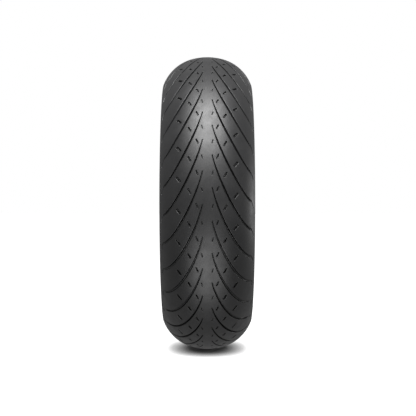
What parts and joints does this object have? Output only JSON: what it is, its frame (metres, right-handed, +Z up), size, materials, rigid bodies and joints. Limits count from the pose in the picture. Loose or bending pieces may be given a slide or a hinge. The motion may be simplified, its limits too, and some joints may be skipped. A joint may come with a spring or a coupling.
{
  "type": "motorcycle tyre",
  "caption": "Wide radial motorcycle tyre with a round crown, curved directional grooves and short slots, smooth centre band, sidewalls and two beads for a tubeless rim.",
  "frame": {"origin": "centre of the wheel, on the axle and on the tyre's mid plane", "axes": "+Y along the axle towards the tyre's right side, +Z up, +X towards the side whose grooves open downwards and outwards"},
  "size_m": [0.6408, 0.19, 0.6408],
  "materials": {
    "tread_compound": "matte, fine moulded grain",
    "shoulder_compound": "matte, slightly softer grain",
    "sidewall_rubber": "matte, moulded ribs",
    "base_rubber": "matte",
    "belt_skim": "steel cords under a rubber coat",
    "ply_skim": "rayon cords under a rubber coat",
    "liner_rubber": "smooth, slightly glossy",
    "bead_wire": "bronze-coated drawn wire",
    "flipper_fabric": "rubberised nylon",
    "filler_rubber": "hard, matte",
    "bead_rubber": "smooth",
    "chafer_fabric": "fine monofilament weave under rubber"
  },
  "bodies": {
    "root": {"tread_centre": "tread_compound", "tread_shoulder_left": "shoulder_compound", "tread_shoulder_right": "shoulder_compound", "tread_base": "base_rubber", "steel_belt": "belt_skim", "belt_edge_cushion_left": "base_rubber", "belt_edge_cushion_right": "base_rubber", "carcass_ply_outer": "ply_skim", "carcass_ply_inner": "ply_skim", "inner_liner": "liner_rubber", "sidewall_left": "sidewall_rubber", "sidewall_right": "sidewall_rubber", "bead_wires_left": "bead_wire", "bead_wires_right": "bead_wire", "bead_flipper_left": "flipper_fabric", "bead_flipper_right": "flipper_fabric", "bead_filler_left": "filler_rubber", "bead_filler_right": "filler_rubber", "bead_cushion_left": "bead_rubber", "bead_cushion_right": "bead_rubber", "chafer_left": "chafer_fabric", "chafer_right": "chafer_fabric"}
  },
  "joints": []
}
